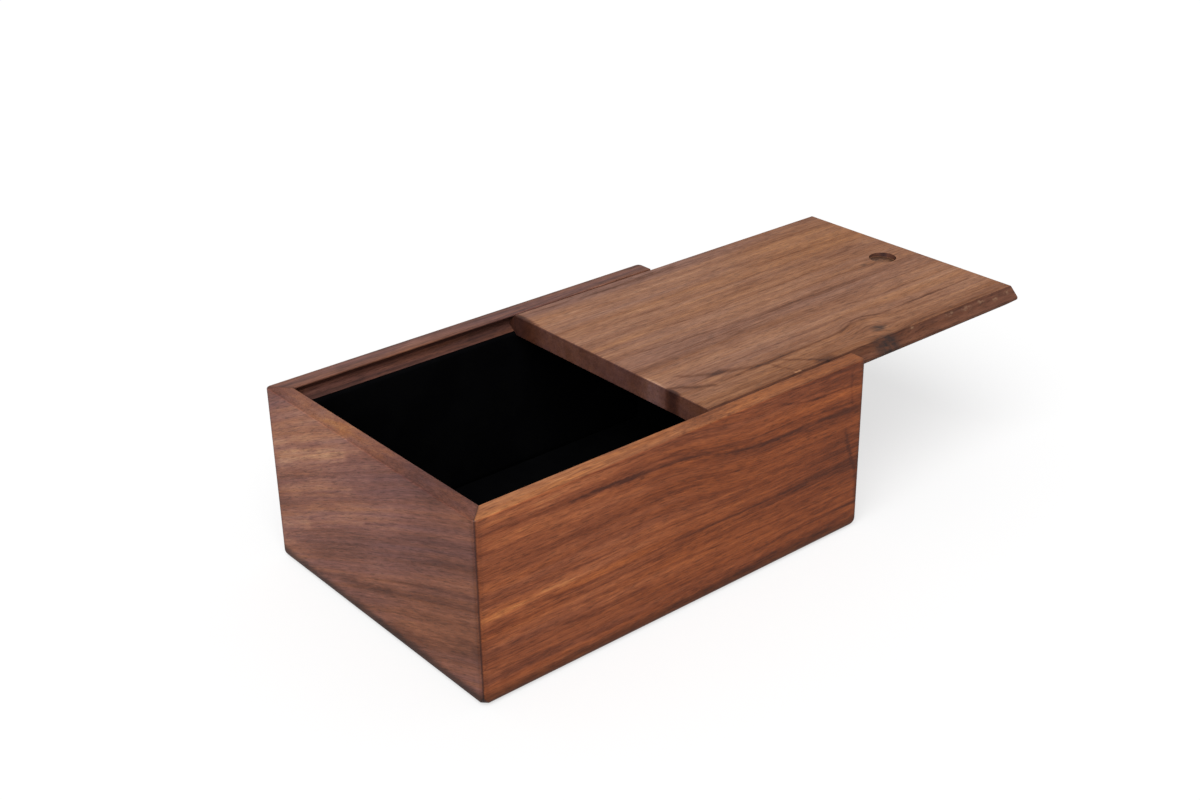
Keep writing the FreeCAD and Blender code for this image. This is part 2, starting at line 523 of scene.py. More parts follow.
    def colour(self, at: Spot, worn: Socket, sawn: Socket) -> Socket:
        """Colours the figure, which is calmer on end grain and blotched on rough faces.

        Args:
            at: The shaded point.
            worn: One along rubbed arrises.
            sawn: One on sawn faces.

        Returns:
            The wood's colour without its pores and marks.
        """
        g = at.g
        tone, grey = self.figure(at)
        normal = g.add("TexCoord", out="Normal")
        endwise = g.add("SeparateXYZ", g.add("VectorMath:ABSOLUTE", normal), out=self.lie.value[0])
        endwise = g.add("MapRange", endwise, 0.4, 0.85, 0.0, 1.0, **SOFT)
        upwards = g.add("SeparateXYZ", normal, out="Z")
        upwards = g.add("MapRange", upwards, 0.6, 0.9, 0.0, 1.0, **SOFT)
        calm = g.add("MapRange", endwise, 0.0, 1.0, 1.0, 0.55)
        swing = g.add("Math:SUBTRACT", tone, self.level)
        ramp = g.add("ValToRGB", g.add("Math:MULTIPLY_ADD", swing, calm, self.level))
        stops = ramp.node.color_ramp.elements
        stops[1].position = 1.0
        for position in TONE_STOPS:
            stops.new(position)
        for stop, tint in zip(stops, self.tones):
            stop.color = linear(tint)
        greyed = g.add("VectorMath:MULTIPLY_ADD", GREYING, grey, (1.0, 1.0, 1.0))
        colour = g.add("VectorMath:MULTIPLY", ramp, greyed)
        # The tint on faces that look up is partly their own tone and partly painted light and sheen on
        # the tops
        faces = ((endwise, self.end_grain), (sawn, self.saw), (upwards, self.rim), (worn, RUBBED))
        for part, tint in faces:
            change = tuple(t - 1.0 for t in tint)
            change = g.add("VectorMath:MULTIPLY_ADD", change, part, (1.0, 1.0, 1.0))
            colour = g.add("VectorMath:MULTIPLY", colour, change)
        rough = g.add("Math:MAXIMUM", endwise, sawn)
        blots = g.add("Math:MULTIPLY", self.noise(g, at.grain, ROUGH_BLOT, 2.5), rough)
        blots = g.add("Math:MULTIPLY_ADD", blots, 0.55, 1.0)
        return g.add("VectorMath:SCALE", colour, Scale=blots)

    def marked(self, at: Spot, colour: Socket) -> Socket:
        """Adds the pores, then the board's knots and chips, and painted shade in its hollows.

        Args:
            at: The shaded point.
            colour: The wood's colour.

        Returns:
            The colour with these marks.
        """
        g = at.g
        pores = self.noise(g, at.grain, DARK_PORE, 1.0)
        bright = g.add("MapRange", pores, -0.2, -0.08, 1.2, 1.0, **SOFT)
        pores = g.add("MapRange", pores, 0.05, 0.17, 1.0, 0.66, **SOFT)
        pores = g.add("Math:MULTIPLY", pores, bright)
        colour = g.add("VectorMath:SCALE", colour, Scale=pores)
        cloudy = g.add("MapRange", self.noise(g, at.grain, KNOT_CLOUD, 2.5), -0.16, 0.1, 0.25, 1.1)
        for k in self.knots:
            heart = g.add("Math:MULTIPLY", self.ellipse(g, at.along, at.across, k, 0.6), k.strength)
            heart = g.add("Math:MULTIPLY", heart, cloudy)
            colour = g.add("Mix", heart, *UNUSED, colour, linear(KNOT_HEART), out=2, data_type="RGBA")
        ragged = g.add("MapRange", self.noise(g, at.grain, TEAR, 2.0), -0.05, 0.1, 0.0, 0.6, **SOFT)
        for c in self.chips:
            torn = g.add("Math:MULTIPLY", ragged, self.ellipse(g, at.along, at.across, c, 0.5))
            colour = g.add("Mix", torn, *UNUSED, colour, linear(DRY_WOOD), out=2, data_type="RGBA")
        # Painted shade in each hollow, darkest on its deep side
        for h in self.hollows:
            colour = g.add("VectorMath:SCALE", colour, Scale=self.shading(at, h, ragged))
        return colour

    def shading(self, at: Spot, hollow: Hollow, ragged: Socket) -> Socket:
        """Paints shade into a hollow in a face that looks up.

        Args:
            at: The shaded point.
            hollow: Where the hollow is and how it lies.
            ragged: Noise that frays the shade.

        Returns:
            What the colour is scaled by, one outside the hollow.
        """
        g = at.g
        radius = hollow.radius
        deep = (*hollow.deep, 0.0)
        spot = g.add("CombineXYZ", at.along, at.across, 0.0)
        spot = g.add("VectorMath:SUBTRACT", spot, (hollow.along, hollow.across, 0.0))
        inside = g.add("VectorMath:LENGTH", spot, out="Value")
        inside = g.add("MapRange", inside, radius - 0.9, radius + 0.2, 1.0, 0.0)
        rise = g.add("SeparateXYZ", g.add("TexCoord", out="Normal"), out="Z")
        rise = g.add("MapRange", rise, -0.5, -0.2, 0.0, 1.0)
        inside = g.add("Math:MULTIPLY", inside, rise)
        slant = g.add("VectorMath:DOT_PRODUCT", spot, deep, out="Value")
        slant = g.add("MapRange", slant, -radius, -0.2 * radius, 0.0, 1.0)
        bowl = g.add("VectorMath", spot, tuple(0.45 * radius * d for d in deep))
        bowl = g.add("VectorMath:LENGTH", bowl, out="Value")
        bowl = g.add("Math:MULTIPLY_ADD", ragged, 0.7 * radius, bowl)
        bowl = g.add("MapRange", bowl, 0.45 * radius, 1.2 * radius, 0.3, 1.0)
        depth = g.add("Math:MULTIPLY", slant, bowl)
        depth = g.add("Math:MULTIPLY", inside, depth)
        return g.add("Math:MULTIPLY_ADD", depth, hollow.shade - 1.0, 1.0)

    def foot_shade_and_dark_corners(self, at: Spot, colour: Socket) -> Socket:
        """Paints shade up the foot that stands on the table; darkens the upright corners and the
        mitres' glue lines.

        Args:
            at: The shaded point.
            colour: The wood's colour.

        Returns:
            The darkened colour.
        """
        g = at.g
        # Painted shade: the foot darkens towards the table, with a frayed upper edge
        height = g.add("SeparateXYZ", at.place, out="Z")
        shade_fray = self.noise(g, at.place, FOOT_SHADE_FRAY, 2.0)
        height = g.add("Math:MULTIPLY_ADD", shade_fray, 3.0, height)
        foot = g.add("MapRange", height, *FOOT_SPAN, self.foot, 1.0, **SOFT)
        aside = g.add("VectorMath:MULTIPLY", at.place, (1.0, 1.0, 0.0))
        aside = g.add("VectorMath:ABSOLUTE", aside)
        reach = g.add("VectorMath:DOT_PRODUCT", aside, (1.0, 1.0, 0.0), out="Value")
        reach = g.add("Math:SUBTRACT", BOX_HALF[0] + BOX_HALF[1], reach)
        upright = g.add("MapRange", reach, *CORNER_SPAN, self.upright, 1.0, **SOFT)
        shade = g.add("Math:MULTIPLY", foot, upright)
        if self.mitred:
            x = g.add("SeparateXYZ", at.place, out="X")
            away = g.add("Math:ADD", x, g.add("SeparateXYZ", aside, out="Y"))
            away = g.add("Math:ABSOLUTE", g.add("Math:SUBTRACT", away, MITRE))
            glue = g.add("MapRange", away, *GLUE_SPAN, 0.6, 1.0, **SOFT)
            shade = g.add("Math:MULTIPLY", shade, glue)
        return g.add("VectorMath:SCALE", colour, Scale=shade)

    def surface(self, at: Spot, colour: Socket, worn: Socket, sawn: Socket) -> None:
        """Gives the oil's satin, the open pores and the saw's marks.

        Args:
            at: The shaded point.
            colour: The finished colour.
            worn: One along rubbed arrises.
            sawn: One on sawn faces.
        """
        g = at.g
        pores = self.noise(g, at.grain, OPEN_PORE, 1.0)
        fibre = self.noise(g, at.grain, FIBRE, 2.0)
        gloss = g.add("Math:MULTIPLY_ADD", pores, 0.35, self.roughness)
        gloss = g.add("Math:MULTIPLY_ADD", sawn, 0.25, gloss)
        gloss = g.add("Math:MULTIPLY_ADD", worn, 0.05, gloss)
        marks = self.noise(g, g.add("CombineXYZ", at.along, 0.0, 0.0), SAW_MARK, 1.0)
        marks = g.add("Math:MULTIPLY", marks, sawn)
        height = g.add("Math:MULTIPLY", fibre, 0.8)
        height = g.add("Math:MULTIPLY_ADD", pores, -0.9, height)
        height = g.add("Math:MULTIPLY_ADD", marks, 2.0, height)
        relief = g.add("Bump", Strength=0.45, Distance=0.16 * MM, Height=height)
        shader = g.add("BsdfPrincipled", colour, **{"Roughness": gloss, "Normal": relief, "IOR": 1.4})
        g.add("OutputMaterial", shader)


@dataclass(frozen=True)
class CutPileVelvet:
    """Black cotton velvet, woven with a short cut pile.

    The eye sees a black that greys faintly where the pile leans away, in soft brushed clouds. Its tufts
    are drawn a few times as wide as real ones, so that they show.
    """

    name: str = "cotton_velvet_cut_pile"
    deep: str = "#020203"
    brushed: str = "#060607"
    pile: float = 0.45
    clouds: float = 34.0

    def material(self) -> bpy.types.Material:
        """Makes the velvet.

        Returns:
            The material.
        """
        g = new_material(self.name)
        place = g.add("VectorMath:SCALE", g.add("TexCoord", out="Object"), Scale=1 / MM)
        cloud = g.add("TexNoise", Vector=place, Scale=1 / self.clouds, Detail=3.0, Roughness=0.6)
        cloud = g.add("MapRange", cloud, 0.42, 0.62, 0.0, 1.0, **SOFT)
        tufts = g.add("TexNoise", Vector=place, Scale=1 / self.pile, Detail=2.0, Roughness=0.7)
        mixed = g.add("Math:MULTIPLY", tufts, 0.4)
        mixed = g.add("Math:MULTIPLY_ADD", cloud, 0.6, mixed)
        shades = (linear(self.deep), linear(self.brushed))
        colour = g.add("Mix", mixed, *UNUSED, *shades, out=2, data_type="RGBA")
        relief = g.add("Bump", Strength=0.6, Distance=0.3 * MM, Height=tufts)
        shader = g.add("BsdfPrincipled", colour, **{
            "Roughness": 1.0, "Normal": relief, "IOR": 1.1, "Sheen Weight": 0.006,
            "Sheen Roughness": 0.35, "Sheen Tint": linear("#8f8f96")})
        g.add("OutputMaterial", shader)
        return g.owner


@dataclass(frozen=True)
class PressedCard:
    """Grey board, pressed from pulp: a dull warm grey with darker fibres and flecks."""

    name: str = "grey_board_pressed"
    pale: str = "#9a958b"
    dark: str = "#7c776d"
    fibre: float = 1 / 0.9

    def material(self) -> bpy.types.Material:
        """Makes the card.

        Returns:
            The material.
        """
        g = new_material(self.name)
        place = g.add("VectorMath:SCALE", g.add("TexCoord", out="Object"), Scale=1 / MM)
        fibres = g.add("TexNoise", Vector=place, Scale=1 / self.fibre, Detail=5.0, Roughness=0.75)
        shades = (linear(self.dark), linear(self.pale))
        colour = g.add("Mix", fibres, *UNUSED, *shades, out=2, data_type="RGBA")
        relief = g.add("Bump", Strength=0.3, Distance=0.1 * MM, Height=fibres)
        g.add("OutputMaterial", g.add("BsdfPrincipled", colour, **{"Roughness": 0.9, "Normal": relief}))
        return g.owner


def dress(node: str, material: bpy.types.Material) -> None:
    """Gives a carried-over piece its finish.

    Args:
        node: The piece.
        material: The finish.
    """
    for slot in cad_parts[node].material_slots:
        slot.material = material
    log.info("dressed %s in %s", node, material.name)


# Five tones of each board, from its dark lines to its lightest wood

WARM = ("#4f2414", "#743a20", "#8d4c2d", "#a65f39", "#c5804f")
DUSKY = ("#41241e", "#634035", "#805444", "#9a6b53", "#ba8c68")
RUSSET = ("#41211a", "#643a2e", "#815143", "#9b6852", "#ba8968")
TAWNY = ("#4b2919", "#6f432a", "#895c43", "#9f7052", "#b78a6a")


@dataclass(frozen=True)
class Walls:
    """Four walls, mitred at the closed end and butted at the open one."""

    middle: Size = BOX_MIDDLE
    half: Size = BOX_HALF

    def near_side(self) -> OiledWood:
        """Figures the warm wall, whose long streak steps down along its length.

        Returns:
            Its finish.
        """
        dark = (
            Streak(((-119, 83.5), (-88, 82.8), (-55, 82.2), (-22, 80)), 4.6, -0.22),
            Streak(((-76, 82), (-30, 80.8), (0, 78.4), (12, 76), (26, 72), (42, 69.9), (70, 68.8),
                    (118, 67.8)), 1.9, -0.34),
            Streak(((-5, 77), (28, 70.5), (60, 67.5), (119, 66)), 4.5, -0.12),
            Streak(((-98, 65), (-50, 64.6), (-15, 64.2), (8, 63), (28, 61)), 1.5, -0.22),
            Streak(((-119, 50.6), (-80, 49.6), (-48, 48)), 1.2, -0.24),
            Streak(((-119, 36.2), (-75, 35.6), (-40, 34), (0, 34.2), (20, 35)), 1.3, -0.16),
            Streak(((-119, 27.6), (-85, 25.4), (-50, 22.4), (-18, 22)), 3.2, -0.22),
            Streak(((55, 87.5), (74, 82), (95, 80), (119, 79)), 1.2, -0.24),
            Streak(((20, 47), (60, 47.6), (85, 47), (119, 46)), 2.2, -0.14),
            Streak(((45, 12.6), (80, 15), (119, 14)), 1.6, -0.14),
            Streak(((-64, 11.4), (-20, 9), (20, 8), (66, 7.6)), 1.5, -0.16),
            Streak(((-119, 5.6), (-60, 4.4), (0, 4.8), (60, 6), (119, 9)), 4.5, -0.2),
            Streak(((88, 106), (78, 105.6), (69, 107.4)), 2.0, -0.18, crosswise=True),
            Streak(((60, 103), (50, 104.6), (44, 107), (35, 110), (26, 112), (14, 113)), 2.2, -0.24,
                   crosswise=True),
        )
        light = (
            Streak(((-112, 76), (-60, 75), (-20, 72.6)), 4.0, 0.15),
            Streak(((-119, 56), (-70, 54), (-30, 52), (10, 51)), 3.0, 0.12),
            Streak(((-119, 43), (-80, 43), (-40, 40), (4, 38)), 4.5, 0.22),
            Streak(((6, 51.2), (35, 50.5), (64, 50)), 0.9, 0.2),
            Streak(((-112, 30), (-60, 30), (4, 30.4)), 2.6, 0.12),
            Streak(((-6, 36.6), (50, 36.4), (119, 35)), 4.0, 0.17),
        )
        return OiledWood(
            name="rosewood_oiled_near_side_wall", lie=Lie.LONG_WALL, tones=WARM,
            middle=self.middle, half=self.half, seed=1.0, level=0.485, grey=-0.35, hue=0.8, lines=0.28,
            flecks=0.3, mottle=0.42, foot=0.43, rim=(1.1, 1.38, 1.38), sawn=Sawn.GROOVE,
            streaks=dark + light, drifts=(Drift(-28, 60, 30, 62, 9.0),),
            # The full-height patches, lighter towards the closed end and darker towards the open end,
            # are partly the board's own tone, partly a painted gradient of light
            patches=(
                Patch(64, 40, 140, 100, -0.07, -0.5),
                Patch(104, 45, 90, 120, -0.17, -0.6),
                Patch(-60, 34, 130, 28, 0.06, 0.2),
                Patch(-48, 58, 150, 24, -0.07, 0.3),
                Patch(-84, 80, 100, 20, 0.16, 0.2),
                Patch(90, 102, 130, 14, 0.07, 0.35),
                Patch(-84, 45, 100, 120, 0.03, 0.1),
                Patch(8, 45, 90, 120, -0.04, -0.12),
            ),
        )

    def far_side(self) -> OiledWood:
        """Figures the duskier wall, of which the rim and the groove show most.

        Returns:
            Its finish.
        """
        return OiledWood(
            name="rosewood_oiled_far_side_wall", lie=Lie.LONG_WALL, tones=DUSKY,
            middle=self.middle, half=self.half, seed=2.0, level=0.43, grey=0.1,
            rim=(0.93, 0.95, 1.0), saw=(0.62, 0.53, 0.54), sawn=Sawn.GROOVE,
            streaks=(
                Streak(((-119, 60), (-50, 57), (20, 61), (119, 58)), 2.4, -0.3),
                Streak(((-119, 30), (-30, 34), (119, 31)), 1.6, -0.26),
                Streak(((-100, 45), (0, 47), (110, 44)), 5.0, 0.16),
            ),
        )

    def closed_end(self) -> OiledWood:
        """Figures the greyed wall, whose grain climbs from corner to corner.

        Returns:
            Its finish.
        """
        streaks = (
            Streak(((80, 52), (60, 62.6), (36, 72.6), (10, 83)), 6.4, 0.26),
            Streak(((82, 38), (52, 50.6), (6, 67)), 3.4, 0.14),
            Streak(((80, 21), (66, 26.4), (50, 32)), 5.6, 0.2),
            Streak(((80, 58.6), (58, 70), (34, 80)), 2.4, -0.18),
            Streak(((80, 44), (48, 57.6), (20, 69)), 1.9, -0.18),
            Streak(((58, 45), (20, 61.4)), 1.4, -0.16),
            Streak(((4, 52.4), (-24, 63.4)), 1.3, -0.22),
            Streak(((72, 12.6), (40, 26), (-6, 44.6)), 1.6, -0.18),
            Streak(((-26, 45), (-58, 60.6), (-84, 70)), 3.4, -0.12),
            Streak(((-10, 30), (-50, 44), (-84, 55)), 1.8, -0.12),
            Streak(((60, 4), (20, 15), (-20, 28)), 3.0, -0.18),
            Streak(((-30, 13), (-60, 22), (-78, 27)), 5.0, 0.15),
        )
        return OiledWood(
            name="rosewood_oiled_closed_end_wall", lie=Lie.END_WALL, tones=RUSSET,
            middle=self.middle, half=self.half, seed=3.0, level=0.475, grey=-0.12, slope=-0.405,
            bow=-0.0004, broad=0.55, bands=0.42, lines=0.16, flecks=0.16, mottle=0.26,
            waviness=9.0, rings=0.08, rim=(0.75, 0.69, 0.62), foot=0.3, streaks=streaks,
            # Patch(50, 94) lighter towards the far side and Patch(-60, 22) darker towards the near side
            # are partly the board's own tone, partly a painted gradient of light
            patches=(
                Patch(-30, 66, 110, 44, -0.03, 0.6),
                Patch(-50, 1, 70, 22, 0.05, -0.9),
                Patch(50, 94, 90, 56, 0.17, 0.15),
                Patch(-60, 22, 70, 100, -0.08, -0.2),
                Patch(-20, 12, 130, 44, -0.08, -0.35),
                Patch(8, 61, 90, 26, 0.12, 0.0),
                Patch(26, 37, 70, 22, -0.1, -0.2),
                Patch(66, 40, 40, 26, 0.08, 0.1),
            ),
        )

    def open_end(self) -> OiledWood:
        """Figures the low wall that the lid runs over.

        Returns:
            Its finish.
        """
        return OiledWood(
            name="rosewood_oiled_open_end_wall", lie=Lie.END_WALL, tones=WARM,
            middle=self.middle, half=self.half, seed=4.0, level=0.46, grey=0.2, slope=0.06,
            streaks=(
                Streak(((-70, 52), (-20, 56), (30, 51), (72, 55)), 1.8, -0.34),
                Streak(((-72, 24), (0, 20), (72, 26)), 3.0, -0.2),
                Streak(((-72, 38), (0, 35), (72, 40)), 4.0, 0.16),
            ),
        )

    def build(self) -> None:
        """Dresses the four walls."""
        dress("near_side_wall", self.near_side().material())
        dress("far_side_wall", self.far_side().material())
        dress("closed_end_wall", self.closed_end().material())
        dress("open_end_wall", self.open_end().material())


@dataclass(frozen=True)
class SlidingLid:
    """The lid, one board with bevelled long edges and a thumb notch."""

    middle: Size = (130.7, 0.0, 85.5)
    half: Size = (108.6, 70.5, 5.5)

    def finish(self) -> OiledWood:
        """Figures straight fine lines, a dusky far edge, and cracks and a knot by the near one.

        Returns:
            Its finish.
        """
        lines = (
            Streak(((29, -4.2), (50, -6), (72, -8.3), (95, -10.2), (122, -11.3), (145, -10),
                    (168, -8.4)), 1.5, -0.2),
            Streak(((56, 10.8), (75, 9.4), (92, 8), (114, 8.8)), 1.2, -0.2),
            Streak(((104, 12), (125, 11), (160, 10.6), (185, 12), (209, 10.8)), 1.2, -0.2),
            Streak(((38, -55), (60, -53.8), (90, -53), (120, -52.4), (132, -51.2), (140, -48.4),
                    (147, -47), (154, -48.4), (162, -50.4), (190, -50.2), (243, -49.6)), 1.4, -0.32),
            Streak(((15, 67), (60, 66.6), (120, 66.6)), 5.6, -0.16),
            Streak(((56, 65), (90, 65.2), (130, 66.2)), 2.2, -0.2),
            Streak(((148, 43.4), (175, 42), (200, 40)), 3.6, -0.13),
            Streak(((156, 36), (178, 37), (204, 36)), 1.5, -0.2),
            Streak(((194, 20), (208, 19), (217, 22), (229, 20)), 4.4, -0.16),
            Streak(((150, -30), (190, -33.4), (243, -33)), 1.2, -0.16),
            Streak(((60, 29), (120, 27.4), (180, 28.4), (243, 27)), 1.3, -0.16),
        )
        cracks = (
            Streak(((18, -41), (27, -46), (32, -49.3), (38, -53.2), (44, -55.6)), 2.6, -0.3),
            Streak(((32, -36), (40, -40.5), (46, -44), (52, -47), (60, -49.3), (68, -52),
                    (76, -54)), 2.6, -0.23),
            Streak(((-53, 75.6), (-62, 78.4), (-72, 82)), 2.2, -0.18, crosswise=True),
            Streak(((83, -56), (92, -62.5), (102, -72)), 2.4, -0.28),
        )
        light = (
            Streak(((15, 54.6), (75, 53.5), (138, 52.5)), 2.0, 0.14),
            Streak(((15, 33), (60, 33), (94, 31)), 2.6, 0.15),
            Streak(((15, 22.6), (70, 20), (114, 18)), 3.2, 0.15),
            Streak(((15, 10.8), (50, 10.4), (76, 8.6)), 2.0, 0.12),
            Streak(((176, -26.6), (210, -29), (243, -30)), 5.0, 0.12),
            Streak(((78.4, -69.5), (80.5, -69.8), (82.8, -70)), 1.1, 0.7),
        )
        chips = (
            Chip(188, -71.8, 6, 1.6), Chip(201, -72.2, 7, 1.8),
            Chip(213, -71.8, 5, 1.6), Chip(223, -73, 4, 1.8),
            Chip(233, -72.4, 4, 1.6), Chip(160, -71.5, 3, 1.4),
        )
        patches = (
            Patch(110, 67, 230, 12, -0.02, 0.75), Patch(60, -20, 110, 60, -0.02, 0.3),
            Patch(52, -46.6, 13, 3.4, -0.3, 0.3), Patch(36, -51, 22, 6, -0.12, 0.2),
            Patch(84, -54, 26, 4, -0.12, 0.0), Patch(101, -70, 12, 6, -0.26, 0.2),
            Patch(44, -50, 14, 3.4, 0.22, -0.5), Patch(22, -34, 3, 14, 0.45, 0.2),
            # Patch(22, 66, ...) is painted shade on the lid's inner end, by the far tongue in the
            # groove
            Patch(22, -48, 3, 7, -0.7, 0.6), Patch(22, 66, 4, 26, -0.6, 0.0),
            Patch(206, 50, 90, 60, 0.02, -0.5), Patch(84, 56, 190, 36, 0.1, 0.25),
            Patch(200, 14, 110, 60, -0.06, 0.0), Patch(110, -68, 240, 26, -0.05, -0.5),
            Patch(85, -35, 60, 24, 0.06, 0.0), Patch(230, -38, 44, 26, 0.06, 0.0),
        )
        return OiledWood(
            name="rosewood_oiled_sliding_lid", lie=Lie.FLAT, tones=TAWNY,
            middle=self.middle, half=self.half, seed=5.0, foot=1.0, upright=1.0, mitred=False,
            level=0.52, grey=-0.05, broad=0.35, bands=0.45, lines=0.34, rings=0.1, hue=0.6,
            waviness=4.0, end_grain=(0.44, 0.4, 0.52), saw=(0.43, 0.36, 0.39), sawn=Sawn.BEVELS,
            streaks=lines + cracks + light, chips=chips, patches=patches,
            knots=(
                Knot(145.9, -61.4, 8.4, 6, 0.7, 14, 9),
                Knot(139.5, -73.4, 15, 8, 0.95, 8, 3),
                Knot(203, -0.6, 5.4, 3.2, 0.42, 6, 2),
            ),
            # Painted shade darkens the thumb notch towards its deep side
            hollows=(Hollow(219.1, 0, 7.3, (0.6, 0.8), 0.25),),
        )

    def build(self) -> None:
        """Dresses the lid."""
        dress("sliding_lid", self.finish().material())


@dataclass(frozen=True)
class BaseBoard:
    """The bottom, let into the walls from below."""

    middle: Size = (0.0, 0.0, 2.5)
    half: Size = (109.4, 76.1, 2.5)

    def build(self) -> None:
        """Dresses the base."""
        finish = OiledWood(
            name="rosewood_sanded_base_board", lie=Lie.FLAT, tones=TAWNY,
            middle=self.middle, half=self.half, seed=6.0, foot=1.0, upright=1.0, mitred=False,
            level=0.46, grey=0.2, roughness=0.55, waviness=9.0,
            streaks=(
                Streak(((-110, 20), (-30, 26), (40, 22), (110, 27)), 2.6, -0.3),
                Streak(((-110, -36), (0, -30), (110, -35)), 1.8, -0.26),
            ),
        )
        dress("base_board", finish.material())


@dataclass(frozen=True)
class Lining:
    """Velvet glued over five card panels, folded over their edges. Millimetres."""

    inner_x: float = 105.5
    inner_y: float = 72.25
    card: float = 1.0
    velvet: float = 0.7
    foot: float = 5.0
    end_top: float = 79.5
    side_top: float = 81.78
    side_slope: float = 38.0
    floor_fit: float = 0.2
    fold: float = 0.55
    fold_steps: int = 4
    cell: float = 4.0
    slack: float = 0.16
    waves: tuple[float, float] = (38.0, 110.0)

    def cover(self, name: str, bm: bmesh.types.BMesh,
              velvet: bpy.types.Material) -> None:
        """Turns a finished skin into one velvet cover on its card.

        Args:
            name: Which panel it covers.
            bm: The outer skin of the velvet, whose normals point into the box.
            velvet: The finish.
        """
        bm.normal_update()
        moves = []
        for vert in bm.verts:
            wide, fine = (noise.noise(vert.co * per_metre) for per_metre in self.waves)
            sag = min(max(0.5 + 0.5 * wide + 0.25 * fine, 0.0), 1.0)
            moves.append(vert.normal * (-self.slack * MM * sag))
        for vert, move in zip(bm.verts, moves):
            vert.co += move
        mesh = bpy.data.meshes.new(f"{name}_velvet_cover")
        bm.to_mesh(mesh)
        bm.free()
        mesh.shade_smooth()
        mesh.materials.append(velvet)
        piece = bpy.data.objects.new(mesh.name, mesh)
        bpy.context.scene.collection.objects.link(piece)
        thick = piece.modifiers.new("velvet", "SOLIDIFY")
        thick.thickness = (self.velvet - self.slack) * MM
        thick.offset = -1.0
        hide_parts(f"{name}_velvet")
        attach(piece, "box")
        log.info("built %s", piece.name)

    def cut_across(self, bm: bmesh.types.BMesh, axis: int, low: float, high: float) -> None:
        """Divides the skin by planes a cell apart, so that it can sag.

        Args:
            bm: The skin.
            axis: Which way the planes face, counted from X.
            low: Where the skin starts, in millimetres.
            high: Where it ends.
        """
        count = max(1, round((high - low) / self.cell))
        normal = Vector([float(i == axis) for i in range(3)])
        for step in range(1, count):
            at = low + (high - low) * step / count
            geom = [*bm.verts, *bm.edges, *bm.faces]
            bmesh.ops.bisect_plane(bm, geom=geom, plane_co=normal * at * MM, plane_no=normal)

    def draw_out(self, bm: bmesh.types.BMesh, edges: list[bmesh.types.BMEdge], travel: Vector) -> None:
        """Draws edges out by a travel in millimetres.

        Args:
            bm: The skin.
            edges: What is drawn out.
            travel: Which way and how far.
        """
        drawn = bmesh.ops.extrude_edge_only(bm, edges=edges)["geom"]
        verts = [part for part in drawn if isinstance(part, bmesh.types.BMVert)]
        bmesh.ops.translate(bm, verts=verts, vec=travel * MM)

    def roll(self, bm: bmesh.types.BMesh, folds: list[bmesh.types.BMEdge]) -> None:
        """Gives folds the soft roll of cloth over a card's edge."""
        bmesh.ops.bevel(bm, geom=folds, offset=self.fold * MM, segments=self.fold_steps, profile=0.5,
                        affect="EDGES", material=-1)

    def upright(self, path: list[Vector], travel: Vector) -> bmesh.types.BMesh:
        """Draws a folded line out along a wall into a skin.

        Args:
            path: Foot, fold and top, in millimetres.
            travel: How far the line is drawn, in millimetres.

        Returns:
            The skin, with a soft roll at its fold.
        """
        bm = bmesh.new()
        verts = [bm.verts.new(point * MM) for point in path]
        self.draw_out(bm, [bm.edges.new(pair) for pair in zip(verts, verts[1:])], travel)
        self.roll(bm, [edge for edge in bm.edges if len(edge.link_faces) == 2])
        inwards = Vector((-path[0].x, 0, 0)) if travel.x == 0 else Vector((0, -path[0].y, 0))
        bm.normal_update()
        face = max(bm.faces, key=lambda f: f.calc_area())
        if face.normal.dot(inwards) < 0:
            bmesh.ops.reverse_faces(bm, faces=bm.faces)
        return bm

    def side(self, name: str, sign: int, velvet: bpy.types.Material) -> None:
        """Covers the panel of a long wall, whose top follows the groove's flank.

        Args:
            name: Which wall.
            sign: Which side of the box it is on.
            velvet: The finish.
        """
        face = self.inner_y - self.card - self.velvet
        fall = (self.card + self.velvet) * math.tan(math.radians(self.side_slope))
        path = [Vector((-self.inner_x, sign * face, self.foot)),
                Vector((-self.inner_x, sign * face, self.side_top - fall)),
                Vector((-self.inner_x, sign * self.inner_y, self.side_top))]
        bm = self.upright(path, Vector((2 * self.inner_x, 0, 0)))
        self.cut_across(bm, 0, -self.inner_x, self.inner_x)
        self.cut_across(bm, 2, self.foot, self.side_top - fall - self.fold)
        self.cover(name, bm, velvet)

    def end(self, name: str, sign: int, velvet: bpy.types.Material) -> None:
        """Covers the panel of an end wall.

        Args:
            name: Which wall.
            sign: Which end of the box it is at.
            velvet: The finish.
        """
        face = self.inner_x - self.card - self.velvet
        half = self.inner_y - self.card - self.velvet
        path = [Vector((sign * face, -half, self.foot)),
                Vector((sign * face, -half, self.end_top)),
                Vector((sign * self.inner_x, -half, self.end_top))]
        bm = self.upright(path, Vector((0, 2 * half, 0)))
        self.cut_across(bm, 1, -half, half)
        self.cut_across(bm, 2, self.foot, self.end_top - self.fold)
        self.cover(name, bm, velvet)

    def floor(self, velvet: bpy.types.Material) -> None:
        """Covers the floor panel, with the velvet turned down round its edges.

        Args:
            velvet: The finish.
        """
        x = self.inner_x - self.card - self.velvet - self.floor_fit
        y = self.inner_y - self.card - self.velvet - self.floor_fit
        deep = self.card + self.velvet
        bm = bmesh.new()
        cells = {"x_segments": round(2 * x / self.cell), "y_segments": round(2 * y / self.cell)}
        bmesh.ops.create_grid(bm, size=MM, **cells)
        bmesh.ops.scale(bm, verts=bm.verts, vec=(x, y, 1.0))
        bmesh.ops.translate(bm, verts=bm.verts, vec=(0, 0, (self.foot + deep) * MM))
        self.draw_out(bm, [edge for edge in bm.edges if edge.is_boundary], Vector((0, 0, -deep)))
        bm.normal_update()
        inner = [edge for edge in bm.edges if len(edge.link_faces) == 2]
        self.roll(bm, [edge for edge in inner if edge.calc_face_angle() > math.pi / 4])
        self.cover("floor", bm, velvet)

